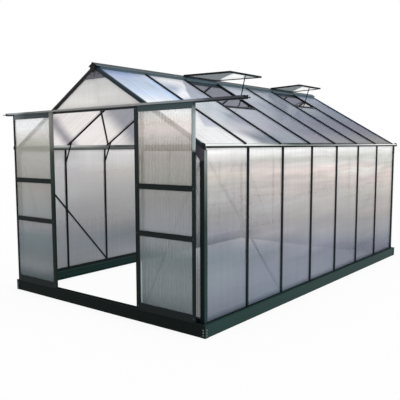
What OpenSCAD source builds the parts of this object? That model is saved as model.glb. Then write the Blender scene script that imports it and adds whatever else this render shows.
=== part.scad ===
// Polycarbonate greenhouse: an extruded aluminium frame on a folded steel base,
// glazed with twin-wall sheets, with a pair of sliding doors in the front gable
// and two vents propped open on the right-hand slope of the roof.
//
// X runs across the gables, Y from the front gable to the back one, Z is up.
// The origin is the centre of the base, on the ground.
//
// The glazing bars, door stiles and rails are true extrusion sections: a hollow
// outer cap, a web between two pane slots, and a bolt channel facing inwards.

/* [Building] */
// Distance from one glazing bar to the next along a side wall
bay = 603; // [560:1:640]
// Length of the first and last bay of a side wall
end_bay = 634; // [600:1:640]
// Bays along each side wall
side_bays = 7; // [7:1:9]
// Width over the two side walls
width = 2440; // [2430:5:2450]
// Height of the roof line at the eaves
eave_h = 1512; // [1480:1:1540]
// Height of the roof line at the ridge
ridge_h = 2235; // [2200:1:2270]

/* [Base] */
// Height of the folded base rail
base_h = 104; // [90:1:120]
// How far the base stands out from the wall faces
base_out = 30; // [26:1:34]
// Thickness of the folded steel
steel = 2; // [1.5:0.5:2.5]
// Radius of the holes for the ground anchors
anchor_r = 5; // [3:0.5:6]

/* [Glazing] */
// Thickness of the twin-wall sheets
pane_t = 4; // [3.5:0.5:4.5]
// Width of the slots that hold them
slot = 5; // [5:0.5:5.5]

/* [Glazing bars] */
// Width of a bar's outer cap
bar_w = 26; // [25:1:28]
// How far the cap stands out from the sheets
bar_out = 12; // [11:0.5:13]
// Wall thickness of the extrusions
skin = 1.8; // [1.6:0.1:2.2]
// Width of each leg of a corner post
post_w = 40; // [38:1:44]

/* [Doors] */
// Width of each door
door_w = 636; // [626:1:640]
// Thickness of each door
door_t = 18; // [17:1:20]
// Centre of the left door as it stands open
left_door_x = -880; // [-886:1:-870]
// Centre of the right door as it stands open
right_door_x = 842; // [836:1:850]
// Width of the stiles that meet when the doors close
meeting_w = 44; // [40:1:46]
// Width of the stiles at the far sides of the doors
outer_w = 25; // [24:1:30]
// Left jamb of the doorway
left_jamb_x = -640; // [-650:1:-630]
// Right jamb of the doorway
right_jamb_x = 566; // [560:1:590]
// Left end of the overhead track
track_x0 = -1310; // [-1330:1:-1305]
// Right end of the overhead track
track_x1 = 1608; // [1600:1:1650]
// Height of the top of the overhead track
track_h = 1857; // [1854:1:1860]

/* [Vents] */
// Length of the front vent, from its hinge to its outer edge
vent1_len = 593; // [560:1:620]
// Length of the back vent
vent2_len = 415; // [400:1:440]
// Tilt of the front vent above the level
vent1_tilt = -1.3; // [-4:0.1:6]
// Tilt of the back vent above the level
vent2_tilt = 1.7; // [-4:0.1:6]

/* [Hidden] */
half_w = width / 2;
half_l = end_bay + (side_bays - 2) * bay / 2;
gable_bay = width / 4;
roof_a = atan((ridge_h - eave_h) / half_w);
slope = norm([half_w, ridge_h - eave_h]);
steep = tan(roof_a);

// Depths measured inwards from a wall face or down from the roof line.
flange = 2;
slot_in = bar_out + slot;
flange_in = slot_in + flange;
bar_d = flange_in + 6;
pane_out = bar_out + (slot - pane_t) / 2;
pane_in = pane_out + pane_t;
bite = 7;

// Base and sill levels.
sill_z = base_h + steel;
upstand_z = base_h + 36;
base_x = half_w + base_out;
base_y = half_l + base_out;
anchor_x = base_x - 24;
anchor_y = half_l - 141.5;
sill_back = bar_d + 5;

// Braces: flat bars, with the heights of the ends of those in the walls.
brace_w = 20;
brace_t = 3;
brace_top = 1390;
wall_brace_top = 1446;
brace_foot = 130;

// Gable members: the bar at eave height, the header and the rafters.
cross_z0 = 1466;
cross_z1 = 1518;
head_z0 = track_h - 32;
rafter_top = 3;
rafter_d = 36;
rafter_band = 25;
apex_z = ridge_h - 125;

// Eaves and ridge.
gutter_z = 1499;
gutter_x = half_w + 20;
tail = 15;
tray_s0 = slope - 62;
stop_s = slope - 48;
beam_h = 24;
ridge_top = 2252;
ridge_s = 58;
ridge_foot_z = 2171;
ridge_foot = 15;
cap_t = 5;

// Corner plates of the gables, and the knee braces above the wall bars.
plate_reach = 85;
plate_foot_z = eave_h - 122;
plate_top_z = eave_h + 90;
knee_z0 = 1318;
knee_z1 = 1600;
knee_reach = 118;

// Doors: distances measured outwards from the front gable face.
door_in = 28;
door_mid = door_in + door_t / 2;
guide_out = door_mid;
door_z0 = sill_z + 5;
stile_z0 = sill_z + 14;
rail_levels = [[door_z0, 173], [756, 801], [1152, 1197], [1790, 1838]];
track_out = 56;
track_z0 = track_h - 26;
lip_z0 = track_h - 18;
runner_out = 21;
runner_z = track_h - 19;
wheel_groove_r = 6;
wheel_r = 8;
wheel_in = 80;

// Vents: the bay each one opens, its length, tilt and the slope length of its opening.
hinge_x = 26;
hinge_z = ridge_top - 5;
vent_t = 18;
vent_rail = 24;
vents = [[3, vent1_len, vent1_tilt, 640, 272], [6, vent2_len, vent2_tilt, 436, 105]];

// ---- Helpers ----

// Station of the nth bar line along the building.
function bar_y(n) =
  n == 0 ? -half_l : n == side_bays ? half_l : end_bay + (n - 1) * bay - half_l;

// Point on a gable section, from a distance down the slope and a height off the roof line.
function roof_point(s, n) =
  [s * cos(roof_a) + n * sin(roof_a), ridge_h - s * sin(roof_a) + n * cos(roof_a)];

// Rectangle with its two outer corners cut off, y = 0 being the outer face.
function capped(w, d, c) =
  [[-w / 2, -d], [w / 2, -d], [w / 2, -c], [w / 2 - c, 0], [c - w / 2, 0], [-w / 2, -c]];

module both_sides() {
  children();
  mirror([1, 0, 0]) children();
}

module both_ends() {
  children();
  mirror([0, 1, 0]) children();
}

// Extrudes a section drawn in X-Z along Y.
module along_y(y0, y1) {
  translate([0, y1, 0]) rotate([90, 0, 0]) linear_extrude(y1 - y0) children();
}

// Extrudes a section drawn in Y-Z along X.
module along_x(x0, x1) {
  translate([x0, 0, 0]) rotate([90, 0, 90]) linear_extrude(x1 - x0) children();
}

// Puts a piece on the right slope: x down the slope, y along the ridge, z off the roof line.
module on_roof() {
  translate([0, 0, ridge_h]) rotate([0, roof_a, 0]) children();
}

// Gable outline in X-Z, kept a depth below the roof line.
module gable_outline(depth) {
  drop = depth / cos(roof_a);
  polygon([[-half_w, 0], [half_w, 0], [half_w, eave_h - drop], [0, ridge_h - drop],
    [-half_w, eave_h - drop]]);
}

// Flat bar from one point to another in a plane, with half-round ends.
module strip(p, q, w) {
  len = norm(q - p);
  steps = 8;
  ends = [for (i = [0 : 2 * steps + 1]) let (a = (i - (i > steps ? 1 : 0)) * 180 / steps - 90)
    [(i > steps ? 0 : len) + cos(a) * w / 2, sin(a) * w / 2]];
  translate(p) rotate(atan2(q[1] - p[1], q[0] - p[0])) polygon(ends);
}

// ---- Extrusion sections: x across, y outwards, y = 0 at the outer face ----

module cap_section() {
  difference() {
    polygon(capped(bar_w, bar_out, 3));
    translate([0, -skin]) polygon(capped(bar_w - 2 * skin, bar_out - 2 * skin, 2.2));
  }
}

// Web, inner flange and bolt channel of a bar.
module inner_section() {
  translate([-skin / 2, -flange_in]) square([skin, flange_in - bar_out]);
  translate([-bar_w / 2, -flange_in]) square([bar_w, flange]);
  for (side = [-1, 1]) {
    polygon([[side * 4, -bar_d], [side * 8, -bar_d], [side * 8, -flange_in],
      [side * 6.4, -flange_in], [side * 6.4, 1.6 - bar_d], [side * 4, 1.6 - bar_d]]);
  }
}

module bar_section() {
  cap_section();
  inner_section();
}

// Corner post with its outer corner at the origin and its legs along -x and -y.
module post_section() {
  difference() {
    union() {
      polygon([[-post_w, 0], [-3, 0], [0, -3], [0, -bar_d], [-post_w, -bar_d]]);
      polygon([[0, -post_w], [0, -3], [-3, 0], [-bar_d, 0], [-bar_d, -post_w]]);
    }
    translate([-bar_d + 8, -bar_d + 8]) square([bar_d - 10, bar_d - 10]);
    translate([-slot_in, -post_w - 1]) square([slot, 10]);
    translate([-post_w - 1, -slot_in]) square([10, slot]);
  }
}

// Horizontal gable bar, drawn with x down from its top edge and y outwards.
module crossbar_section(h, lower_slot) {
  difference() {
    polygon([[0, -bar_d], [h, -bar_d], [h, -2], [h - 2, 0], [2, 0], [0, -2]]);
    translate([10, -bar_d + skin]) square([h - 20, bar_d - 2 * skin]);
    translate([-1, -slot_in]) square([9, slot]);
    if (lower_slot) translate([h - 8, -slot_in]) square([9, slot]);
  }
}

// Gable rafter, drawn with x into the building from the gable face and y off the roof line.
module rafter_section() {
  difference() {
    union() {
      translate([0, -rafter_band]) square([bar_d, rafter_band - rafter_top]);
      translate([4, -rafter_d]) square([bar_d - 4, rafter_d - rafter_band]);
    }
    translate([2, 2 - bar_out]) square([bar_d - 9, bar_out - rafter_top - 4]);
    translate([bar_d - 8, -slot_in]) square([9, slot]);
    translate([bar_out, -rafter_d - 1]) square([slot, 9]);
  }
}

// Folded base rail in X-Z: outer face, ground flange and top flange.
module base_web_section(face) {
  translate([face - steel, 0]) square([steel, base_h]);
}

module base_flange_section(face) {
  translate([face - 45, 0]) square([45 - steel, steel]);
  polygon([[face - steel, base_h], [face - base_out - sill_back, base_h],
    [face - base_out - sill_back, base_h - 14], [face - base_out - sill_back + steel, base_h - 14],
    [face - base_out - sill_back + steel, base_h - steel], [face - steel, base_h - steel]]);
}

// Sill on top of the base: plate with an outer lip, and the inner upstand.
module sill_plate_section(face, reach) {
  translate([face - sill_back, base_h]) square([sill_back + reach, steel]);
  translate([face + 1, base_h]) square([steel, 9]);
}

module sill_upstand_section(face) {
  translate([face - sill_back, base_h]) square([steel, upstand_z - base_h]);
}

// Gutter outside the eave beam: its floor, back and rolled front lip.
module gutter_section() {
  bead = 1.8;
  translate([half_w + 1, gutter_z]) square([gutter_x - half_w - 1, 2]);
  translate([half_w + 1, gutter_z]) square([2, 6]);
  translate([gutter_x - 2, gutter_z]) square([2, eave_h - bead - gutter_z]);
  translate([gutter_x - bead, eave_h - bead]) circle(r = bead, $fn = 20);
}

// Eave beam: an inner web with a foot, a seat for the gutter and the tray under the sheets.
module eave_beam_section() {
  web_x = half_w - bar_d - 2.5;
  translate([web_x, gutter_z - beam_h]) square([2.5, beam_h + 8]);
  translate([web_x, gutter_z]) square([bar_d + 4.5, 2]);
  translate([web_x - 8, gutter_z - beam_h]) square([8, 2]);
  polygon([roof_point(tray_s0, -slot_in), roof_point(slope - 7, -slot_in),
    roof_point(slope - 7, -flange_in), roof_point(tray_s0, -flange_in)]);
}

// Ledge on the tray that the lower ends of the sheets rest against.
module sheet_stop_section() {
  top = 7 - slot_in;
  polygon([roof_point(stop_s, -flange_in), roof_point(stop_s, top), roof_point(stop_s + 2.5, top),
    roof_point(stop_s + 2.5, -flange_in)]);
}

// Ridge: the folded cap, then the legs and the web that hang from it.
module ridge_cap_section() {
  rise = (ridge_top - ridge_h) * cos(roof_a);
  for (side = [0, 1]) mirror([side, 0]) {
    polygon([[0, ridge_top], roof_point(ridge_s, rise), roof_point(ridge_s, rise - 2.5),
      [0, ridge_top - 2.5 / cos(roof_a)]]);
  }
}

module ridge_web_section() {
  rise = (ridge_top - ridge_h) * cos(roof_a);
  for (side = [0, 1]) mirror([side, 0]) {
    polygon([roof_point(ridge_s, rise - 1), roof_point(ridge_s, 1 - bar_out),
      roof_point(ridge_s - 2, 1 - bar_out), roof_point(ridge_s - 2, rise - 1)]);
  }
  translate([-2, ridge_foot_z]) square([4, ridge_top - 4 - ridge_foot_z]);
  translate([-ridge_foot, ridge_foot_z]) square([2 * ridge_foot, 3]);
  translate([-ridge_foot, ridge_foot_z]) square([2, 10]);
  translate([ridge_foot - 2, ridge_foot_z]) square([2, 10]);
}

// ---- Base and sills ----

module base_side() {
  difference() {
    union() {
      along_y(-base_y, base_y) base_web_section(base_x);
      along_y(steel - base_y, base_y - steel) base_flange_section(base_x);
    }
    both_ends() translate([anchor_x, anchor_y, -1]) cylinder(r = anchor_r, h = steel + 2, $fn = 32);
  }
}

module base_end() {
  x1 = base_x - steel;
  x2 = half_w - sill_back - 1;
  rotate(-90) {
    along_y(-x1, x1) base_web_section(base_y);
    along_y(-x2, x2) base_flange_section(base_y);
  }
}

module base_front() {
  color("#1b2b27") base_end();
}

module base_back() {
  color("#1b2b27") mirror([0, 1, 0]) base_end();
}

module base_left() {
  color("#24443a") mirror([1, 0, 0]) base_side();
}

module base_right() {
  color("#24443a") base_side();
}

module corner_brackets() {
  leg = 48;
  color("#2c433c") both_sides() both_ends() {
    translate([base_x + steel - leg, base_y, 0]) cube([leg, steel, base_h]);
    translate([base_x, base_y + steel - leg, 0]) cube([steel, leg, base_h]);
  }
}

module sills() {
  side_l = half_l - sill_back - 0.5;
  x1 = half_w - post_w - 2;
  color("#1f322d") {
    both_sides() along_y(-side_l, side_l) {
      sill_plate_section(half_w, 3);
      sill_upstand_section(half_w);
    }
    // Back sill.
    rotate(90) along_y(-half_w - 3, half_w + 3) sill_plate_section(half_l, 3);
    rotate(90) along_y(-x1, x1) sill_upstand_section(half_l);
    // Front sill, with the lip that guides the doors.
    rotate(-90) {
      along_y(-half_w - 3, half_w + 3) {
        sill_plate_section(half_l, guide_out + 1);
        translate([half_l + guide_out - 1, base_h]) square([2, 10]);
      }
      along_y(right_jamb_x + bar_w / 2 + 2, x1) sill_upstand_section(half_l);
      along_y(-x1, left_jamb_x - bar_w / 2 - 2) sill_upstand_section(half_l);
    }
  }
}

// ---- Walls ----

module corner_posts() {
  color("#172521") both_sides() both_ends() intersection() {
    translate([half_w, half_l, sill_z]) linear_extrude(eave_h) post_section();
    along_y(0, half_l + 1) gable_outline(rafter_d);
  }
}

module wall_bars() {
  for (n = [1 : side_bays - 1]) {
    translate([half_w, bar_y(n), sill_z]) linear_extrude(gutter_z - sill_z) rotate(-90) bar_section();
  }
}

module left_wall_bars() {
  color("#172521") mirror([1, 0, 0]) wall_bars();
}

module right_wall_bars() {
  color("#172521") wall_bars();
}

module wall_panes() {
  for (n = [0 : side_bays - 1]) {
    y0 = bar_y(n) + (n == 0 ? post_w - 4 : skin / 2 + 1);
    y1 = bar_y(n + 1) - (n == side_bays - 1 ? post_w - 4 : skin / 2 + 1);
    translate([half_w - pane_in, y0, sill_z + 0.5]) cube([pane_t, y1 - y0, gutter_z - sill_z - 1]);
  }
}

module left_wall_panes() {
  color("#c9cbcd", 0.6) mirror([1, 0, 0]) wall_panes();
}

module right_wall_panes() {
  color("#c9cbcd", 0.6) wall_panes();
}

// ---- Eaves, ridge and roof ----

module gutter() {
  beam_l = half_l - bar_d - 0.5;
  along_y(-beam_l, beam_l) eave_beam_section();
  along_y(-half_l - tail, half_l + tail) gutter_section();
  for (n = [0 : side_bays - 1]) {
    y0 = n == 0 ? -beam_l : bar_y(n) + bar_w / 2 + 1;
    y1 = n == side_bays - 1 ? beam_l : bar_y(n + 1) - bar_w / 2 - 1;
    along_y(y0, y1) sheet_stop_section();
  }
}

module left_gutter() {
  color("#24382f") mirror([1, 0, 0]) gutter();
}

module right_gutter() {
  color("#24382f") gutter();
}

module ridge_beam() {
  web_l = half_l - bar_d - 4;
  color("#24382f") {
    along_y(-half_l - tail, half_l + tail) ridge_cap_section();
    along_y(-web_l, web_l) ridge_web_section();
  }
}

// Plastic caps on the ends of the ridge and the gutters.
module end_caps() {
  cap_y = half_l + tail;
  color("#101212") both_ends() {
    along_y(cap_y, cap_y + cap_t) intersection() {
      translate([0, ridge_top - 46]) scale([0.66, 1]) circle(r = 48, $fn = 40);
      translate([-48, ridge_top - 90]) square([96, 96]);
      polygon([[0, ridge_top + 4], [90, ridge_top - 100], [-90, ridge_top - 100]]);
    }
    both_sides() along_y(cap_y, cap_y + cap_t) {
      polygon([[half_w - 8, gutter_z - 16], [gutter_x + 5, gutter_z - 16], [gutter_x + 5, eave_h + 2],
        [gutter_x - 6, eave_h + 12], [half_w - 8, eave_h + 18]]);
    }
  }
}

module rafters() {
  both_sides() intersection() {
    on_roof() translate([0, -half_l, 0]) along_x(-60, slope + 60) rafter_section();
    translate([0.5, -half_l - 1, 0]) cube([half_w - 0.5, bar_d + 2, ridge_h + 50]);
  }
}

module front_rafters() {
  color("#1b2d28") rafters();
}

module back_rafters() {
  color("#1b2d28") mirror([0, 1, 0]) rafters();
}

// Bars of one slope: the cap stops at the ridge and eave, the inner parts run on to them.
module roof_bars() {
  on_roof() for (n = [1 : side_bays - 1]) {
    translate([0, bar_y(n), 0]) {
      along_x(ridge_s + 2, slope - 30) cap_section();
      along_x(27, tray_s0 - 2) inner_section();
    }
  }
}

module left_roof_bars() {
  color("#172521") mirror([1, 0, 0]) roof_bars();
}

module right_roof_bars() {
  color("#172521") roof_bars();
}

// One sheet of the roof, between two bar lines and two distances down the slope.
module roof_pane(n, s0) {
  y0 = bar_y(n) + (n == 0 ? bar_d - bite : skin / 2 + 1);
  y1 = bar_y(n + 1) - (n == side_bays - 1 ? bar_d - bite : skin / 2 + 1);
  on_roof() translate([s0, y0, -pane_in]) cube([stop_s - 0.5 - s0, y1 - y0, pane_t]);
}

module left_roof_panes() {
  color("#dfe3ea", 0.6) mirror([1, 0, 0]) for (n = [0 : side_bays - 1]) roof_pane(n, 22);
}

module right_roof_panes() {
  color("#dfe3ea", 0.6) for (n = [0 : side_bays - 1]) {
    open = [for (v = vents) if (v[0] == n + 1) v[3]];
    roof_pane(n, len(open) > 0 ? open[0] + 13 : 22);
  }
}

// ---- Gables ----

// Upright bar of the front gable, up to a height and cut to the rafters.
module gable_bar(x, top) {
  intersection() {
    translate([x, -half_l, sill_z]) linear_extrude(top - sill_z) rotate(180) bar_section();
    along_y(-half_l - 1, 0) gable_outline(rafter_d);
  }
}

// Level bar of the front gable between two stations, cut to the rafters.
module gable_crossbar(x0, x1, z0, z1, lower_slot) {
  intersection() {
    translate([0, -half_l, z1]) along_x(x0, x1)
      rotate(-90) mirror([0, 1]) crossbar_section(z1 - z0, lower_slot);
    along_y(-half_l - 1, 0) gable_outline(rafter_d);
  }
}

// Sheet of the front gable: a rectangle cut to the rafter slots.
module gable_pane(x0, x1, z0, z1) {
  y0 = pane_out - half_l;
  along_y(y0, y0 + pane_t) intersection() {
    translate([x0, z0]) square([x1 - x0, z1 - z0]);
    gable_outline(rafter_d - bite);
  }
}

module door_jambs() {
  color("#172521") {
    gable_bar(left_jamb_x, track_h - bite - 0.5);
    gable_bar(right_jamb_x, track_h - bite - 0.5);
  }
}

module door_header() {
  x0 = left_jamb_x + bar_w / 2;
  x1 = right_jamb_x - bar_w / 2;
  color("#172521") gable_crossbar(x0, x1, head_z0, track_h, false);
}

module back_gable_bars() {
  color("#172521") mirror([0, 1, 0]) {
    gable_bar(0, apex_z - 0.5);
    both_sides() gable_bar(gable_bay, ridge_h);
  }
}

module gable_crossbars() {
  edge = bar_w / 2;
  far = half_w - post_w;
  color("#172521") {
    gable_crossbar(right_jamb_x + edge, far, cross_z0, cross_z1, true);
    mirror([1, 0, 0]) gable_crossbar(edge - left_jamb_x, far, cross_z0, cross_z1, true);
    mirror([0, 1, 0]) both_sides() {
      gable_crossbar(edge, gable_bay - edge, cross_z0, cross_z1, true);
      gable_crossbar(gable_bay + edge, far, cross_z0, cross_z1, true);
    }
  }
}

// The two sheets beside a gable bar, under and over the crossbar.
module gable_side_panes(x0) {
  gable_pane(x0 + 2, half_w - post_w + bite, sill_z + 0.5, cross_z0 + bite);
  gable_pane(x0 + 2, half_w, cross_z1 - bite, ridge_h);
}

module front_gable_panes() {
  color("#cfccc8", 0.6) {
    gable_side_panes(right_jamb_x);
    mirror([1, 0, 0]) gable_side_panes(-left_jamb_x);
    gable_pane(-half_w, half_w, track_h - bite, ridge_h);
  }
}

module back_gable_panes() {
  color("#cfccc8", 0.6) mirror([0, 1, 0]) both_sides() {
    gable_side_panes(gable_bay);
    gable_pane(2, gable_bay - 2, sill_z + 0.5, cross_z0 + bite);
    gable_pane(2, gable_bay - 2, cross_z1 - bite, ridge_h);
  }
}

// ---- Door track ----

// Hooded track, drawn with x outwards from the gable face and y up.
module track_section() {
  translate([0, track_z0]) square([2.5, track_h - track_z0]);
  translate([0, track_h - 2]) square([track_out, 2]);
  translate([track_out - 2, lip_z0]) square([2, track_h - lip_z0]);
  translate([0, track_z0]) square([runner_out + 1, 2]);
  translate([runner_out - 1, track_z0]) square([2, runner_z - track_z0]);
}

module door_track() {
  color("#4a544f") translate([0, -half_l, 0]) mirror([0, 1, 0]) {
    along_x(track_x0, track_x1) track_section();
  }
}

// End plates with the bolts that stop the doors.
module track_stops() {
  plate = 3;
  color("#101212") {
    for (x = [track_x0 - plate, track_x1]) {
      translate([x, -half_l - track_out, track_z0]) cube([plate, track_out, track_h - track_z0]);
    }
    // One long bolt at the left end, and two shorter ones at the right end.
    stop_bolt(track_x0 - 72, 40, 13, 3.5, 74);
    stop_bolt(track_x1 - 6, 46, 7, 3, 34);
    stop_bolt(track_x1 - 6, 36, 19, 3, 46);
    // Their heads.
    stop_bolt(track_x1 + 23, 46, 7, 6, 5);
    stop_bolt(track_x1 + 35, 36, 19, 6, 5);
  }
}

// Level bolt through the end of the track, a distance out from the gable and down from its top.
module stop_bolt(x, out, down, r, len) {
  translate([x, -half_l - out, track_h - down]) rotate([0, 90, 0]) cylinder(r = r, h = len, $fn = 20);
}

// ---- Plates and braces ----

module gusset_plates() {
  color("#5b5a5e") both_ends() {
    // Apex plate, between the rafters and in front of the sheet.
    along_y(3 - half_l, 5.5 - half_l) intersection() {
      translate([-half_w, apex_z]) square([width, ridge_h - apex_z]);
      gable_outline(rafter_d + 0.3);
    }
    // Corner plates, on the gable face.
    both_sides() along_y(-half_l - 2, -half_l) intersection() {
      polygon([[half_w - plate_reach, plate_top_z], [half_w - plate_reach, plate_foot_z + 55],
        [half_w - 37, plate_foot_z], [half_w, plate_foot_z], [half_w, plate_top_z]]);
      gable_outline(rafter_d - 4);
    }
  }
}

module wall_braces() {
  x0 = half_w - bar_d - brace_t;
  z1 = wall_brace_top;
  color("#172521") both_sides() both_ends() {
    along_x(x0, x0 + brace_t) strip([bar_d + 11 - half_l, z1], [bar_y(2), brace_foot], brace_w);
  }
}

// Brace in the side bay of a gable, from the corner post to the foot of a gable bar.
module gable_brace(x) {
  y0 = bar_d - half_l;
  along_y(y0, y0 + brace_t) strip([half_w - post_w - 8, brace_top], [x + 6, brace_foot + 22], brace_w);
}

module gable_braces() {
  color("#172521") {
    gable_brace(right_jamb_x);
    mirror([1, 0, 0]) gable_brace(-left_jamb_x);
    mirror([0, 1, 0]) both_sides() gable_brace(gable_bay);
  }
}

module roof_braces() {
  color("#172521") both_sides() both_ends() on_roof() translate([0, 0, -bar_d - brace_t]) {
    linear_extrude(brace_t) strip([80, bar_d + 14 - half_l], [tray_s0 - 14, bar_y(2)], brace_w);
  }
}

// Short struts from each wall bar to the roof bar above it.
module knee_braces() {
  color("#172521") both_sides() for (n = [1 : side_bays - 1]) {
    along_y(bar_y(n) - brace_t / 2, bar_y(n) + brace_t / 2) intersection() {
      strip([half_w - bar_d + 10, knee_z0], [half_w - bar_d - knee_reach, knee_z1], brace_w);
      translate([0, knee_z0 - brace_w]) square([half_w - bar_d, 2 * knee_reach + 160]);
      gable_outline(bar_d);
    }
  }
}

// ---- Vents ----

// Puts a piece on a vent: x from the hinge to the outer edge, y across, z up.
module on_vent(v) {
  translate([hinge_x, bar_y(v[0]) - bay / 2, hinge_z]) rotate([0, -v[2], 0]) children();
}

// Channel of a vent rail, open on the side of the pane, which lies at x = 0.
module vent_rail_section() {
  difference() {
    polygon([[0, -vent_t / 2], [vent_rail, -vent_t / 2], [vent_rail, vent_t / 2 - 3],
      [vent_rail - 3, vent_t / 2], [0, vent_t / 2]]);
    translate([-1, -slot / 2]) square([9, slot]);
  }
}

module vent_frames() {
  w = bay / 2 - 4;
  gap = 0.3;
  color("#1f2f2b") for (v = vents) on_vent(v) {
    // Hinge rail and outer rail run right across, and the side rails fit between.
    translate([vent_rail, 0, 0]) mirror([1, 0, 0]) along_y(-w, w) vent_rail_section();
    translate([v[1] - vent_rail, 0, 0]) along_y(-w, w) vent_rail_section();
    for (side = [-1, 1]) scale([1, side, 1]) {
      translate([0, w - vent_rail, 0]) along_x(vent_rail + gap, v[1] - vent_rail - gap) vent_rail_section();
    }
  }
}

module vent_panes() {
  w = bay / 2 - 4 - vent_rail + bite;
  color("#dfe3ea", 0.6) for (v = vents) on_vent(v) {
    x0 = vent_rail - bite;
    translate([x0, -w, -pane_t / 2]) cube([v[1] - 2 * x0, 2 * w, pane_t]);
  }
}

// Foot of a vent's stay, just up the slope from its sill.
function stay_foot(v) = roof_point(v[3] - 27, 14);

// Top of a vent's stay, just under the outer rail.
function stay_top(v) =
  [hinge_x + (v[1] - 18) * cos(v[2]), hinge_z + (v[1] - 18) * sin(v[2]) - vent_t / 2 - 6];

module vent_stays() {
  color("#2a3434") for (v = vents) translate([0, bar_y(v[0]) - bay / 2, 0]) {
    foot = stay_foot(v);
    along_y(-1.5, 1.5) strip(stay_top(v), foot, 11);
    along_y(1.5, 4.5) strip(foot, foot - v[4] * [0.69, 0.72], 9);
    along_y(-5, 7) translate(foot) circle(r = 3, $fn = 20);
  }
}

// Cross member at the lower edge of each vent opening.
module vent_sills() {
  color("#172521") for (v = vents) {
    y0 = bar_y(v[0] - 1) + bar_w / 2;
    y1 = bar_y(v[0]) - bar_w / 2;
    on_roof() translate([v[3] - 8, 0, 0]) along_y(y0, y1) difference() {
      polygon([[-4, -bar_d], [24, -bar_d], [24, -8], [18, -4], [-4, -4]]);
      translate([17, -slot_in]) square([9, slot]);
      translate([-2, 2 - bar_d]) square([17, bar_d - 8]);
    }
  }
}

// ---- Doors: drawn as the left one, then moved to where they stand, side 1 being turned over ----

module at_door(x, side) {
  translate([x, -half_l, 0]) mirror([side, 0, 0]) children();
}

// Stile, drawn with x from the pane side and y outwards from the door's back face.
module stile_section(w) {
  difference() {
    polygon([[0, 0], [w, 0], [w, door_t - 3], [w - 3, door_t], [0, door_t]]);
    translate([skin + 9, skin]) square([w - 2 * skin - 9, door_t - 2 * skin - 3]);
    translate([-1, door_t / 2 - slot / 2]) square([9, slot]);
    translate([w - 9, door_t - 1.2]) square([2.5, 2]);
  }
}

module door_stiles(x, side) {
  z0 = stile_z0;
  z1 = rail_levels[3][1];
  at_door(x, side) {
    translate([door_w / 2 - meeting_w, -door_in, z0]) {
      mirror([0, 1, 0]) linear_extrude(z1 - z0) stile_section(meeting_w);
    }
    mirror([1, 0, 0]) translate([door_w / 2 - outer_w, -door_in, z0]) {
      mirror([0, 1, 0]) linear_extrude(z1 - z0) stile_section(outer_w);
    }
  }
}

// Rail, drawn with x outwards from the door's back face and y up from its lower edge.
module rail_section(h, below, above) {
  difference() {
    square([door_t, h]);
    translate([skin, below ? 10 : 15]) square([door_t - 2 * skin, h - (above ? 25 : 17)]);
    if (below) translate([door_t / 2 - slot / 2, -1]) square([slot, 9]);
    if (above) translate([door_t / 2 - slot / 2, h - 8]) square([slot, 9]);
    if (!below) translate([skin, -1]) square([door_t - 2 * skin, 14]);
  }
}

module door_rails(x, side) {
  x0 = outer_w - door_w / 2;
  x1 = door_w / 2 - meeting_w;
  at_door(x, side) for (i = [0 : 3]) {
    z = rail_levels[i];
    translate([0, -door_in, z[0]]) mirror([0, 1, 0]) {
      along_x(x0, x1) rail_section(z[1] - z[0], i > 0, i < 3);
    }
  }
}

module door_panes(x, side) {
  x0 = outer_w - door_w / 2 - bite;
  x1 = door_w / 2 - meeting_w + bite;
  at_door(x, side) for (i = [0 : 2]) {
    z0 = rail_levels[i][1] - bite;
    z1 = rail_levels[i + 1][0] + bite;
    translate([x0, -door_mid - pane_t / 2, z0]) cube([x1 - x0, pane_t, z1 - z0]);
  }
}

// Grooved wheel about its own axle.
module wheel() {
  rotate_extrude($fn = 40) {
    polygon([[0, -4], [wheel_r, -4], [wheel_r, -2.4], [wheel_groove_r, -1.6],
      [wheel_groove_r, 1.6], [wheel_r, 2.4], [wheel_r, 4], [0, 4]]);
  }
}

// Wheels on their hangers above the door, and the glides under it.
module door_rollers(x, side) {
  top = rail_levels[3][1];
  wheel_z = runner_z + wheel_groove_r + 0.3;
  half = 20;
  at_door(x, side) both_sides() translate([door_w / 2 - wheel_in, 0, 0]) {
    translate([0, -runner_out, wheel_z]) rotate([90, 0, 0]) {
      wheel();
      cylinder(r = 2.5, h = door_in + 2 - runner_out, $fn = 24);
    }
    translate([-half, -door_in - 2.5, top]) cube([2 * half, 2.5, 11]);
    translate([-half, -door_in - 15, top]) cube([2 * half, 15, 2]);
    difference() {
      translate([-half, -door_in - door_t + 4, door_z0 - 2]) cube([2 * half, door_t - 8, 14]);
      translate([-half - 1, -guide_out - 2.5, door_z0 - 3]) cube([2 * half + 2, 5, 11]);
    }
  }
}

module left_door_stiles() {
  color("#1c2a28") door_stiles(left_door_x, 0);
}

module left_door_rails() {
  color("#24322f") door_rails(left_door_x, 0);
}

module left_door_panes() {
  color("#cfccc8", 0.6) door_panes(left_door_x, 0);
}

module left_door_rollers() {
  color("#3a3d3f") door_rollers(left_door_x, 0);
}

module right_door_stiles() {
  color("#1c2a28") door_stiles(right_door_x, 1);
}

module right_door_rails() {
  color("#24322f") door_rails(right_door_x, 1);
}

module right_door_panes() {
  color("#cfccc8", 0.6) door_panes(right_door_x, 1);
}

module right_door_rollers() {
  color("#3a3d3f") door_rollers(right_door_x, 1);
}

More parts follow.
